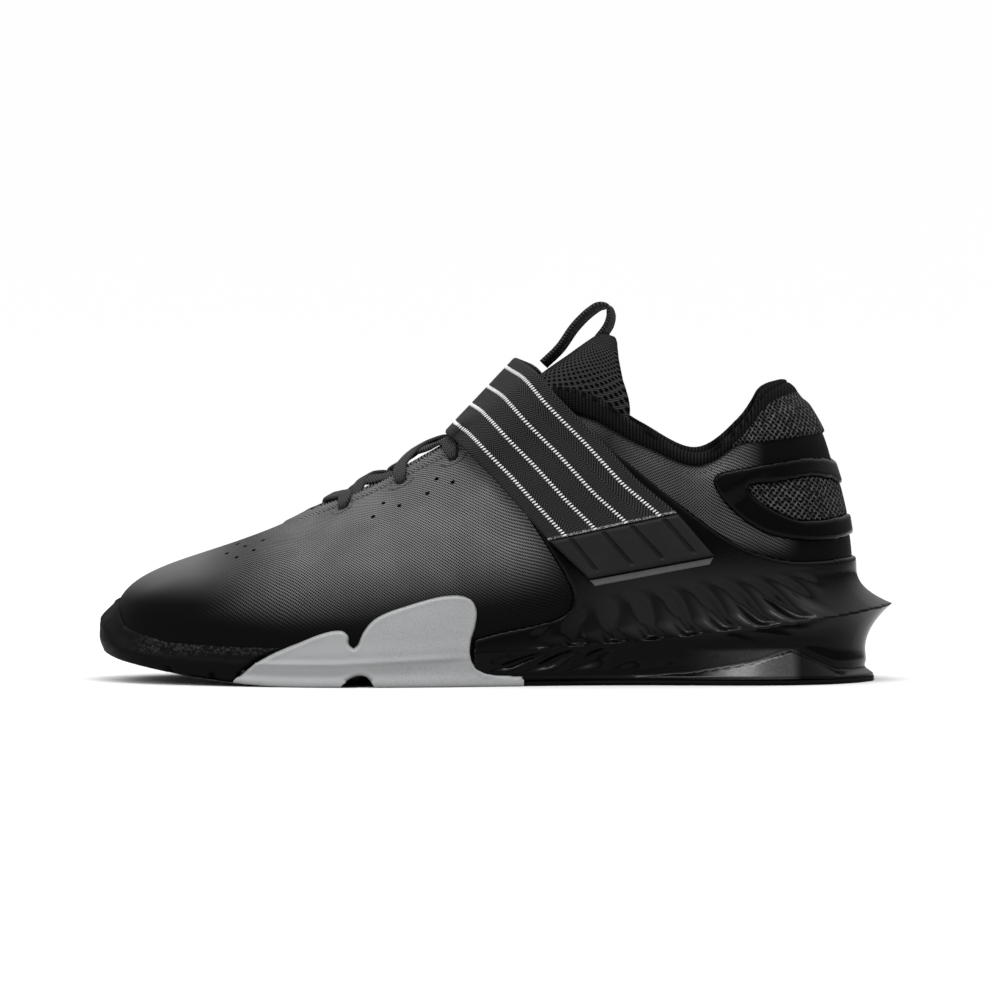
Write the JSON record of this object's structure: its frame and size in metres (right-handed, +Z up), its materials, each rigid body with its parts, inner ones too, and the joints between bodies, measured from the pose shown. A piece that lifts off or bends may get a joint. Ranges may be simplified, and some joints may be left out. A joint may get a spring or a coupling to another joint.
{
  "type": "weightlifting shoe",
  "caption": "Low left training shoe for lifting: sculpted raised heel with a rear ridge, pale forefoot cup, instep strap and laces",
  "frame": {"origin": "on the floor under the middle of the shoe's bounding box", "axes": "-X toward the toe, +X toward the heel, -Y toward the outer side of a left foot, +Z up"},
  "size_m": [0.3065, 0.1092, 0.1454],
  "materials": {
    "textile": "fine coated weave, satin",
    "knit": "coarse knitted mesh",
    "heel_plastic": "glossy moulded plastic",
    "rubber": "matt black rubber",
    "pale_rubber": "satin light grey rubber",
    "webbing": "twilled webbing",
    "foam": "cloth over foam",
    "tab_plastic": "satin moulded film",
    "tab_edge": "matt film"
  },
  "bodies": {
    "root": {"upper": "textile", "insole": "foam", "tongue": "knit", "pull_loop": "webbing", "outsole_toe": "rubber", "sole_forefoot": "pale_rubber", "heel_unit": "heel_plastic", "outsole_heel": "rubber", "heel_counter": "heel_plastic", "heel_knit": "knit", "strap": "webbing", "strap_tab": "tab_plastic", "strap_underlay": "tab_edge", "lace_bar": "webbing", "lace_cross_1": "webbing", "lace_cross_2": "webbing", "lace_cross_3": "webbing", "lace_cross_4": "webbing"}
  },
  "joints": []
}
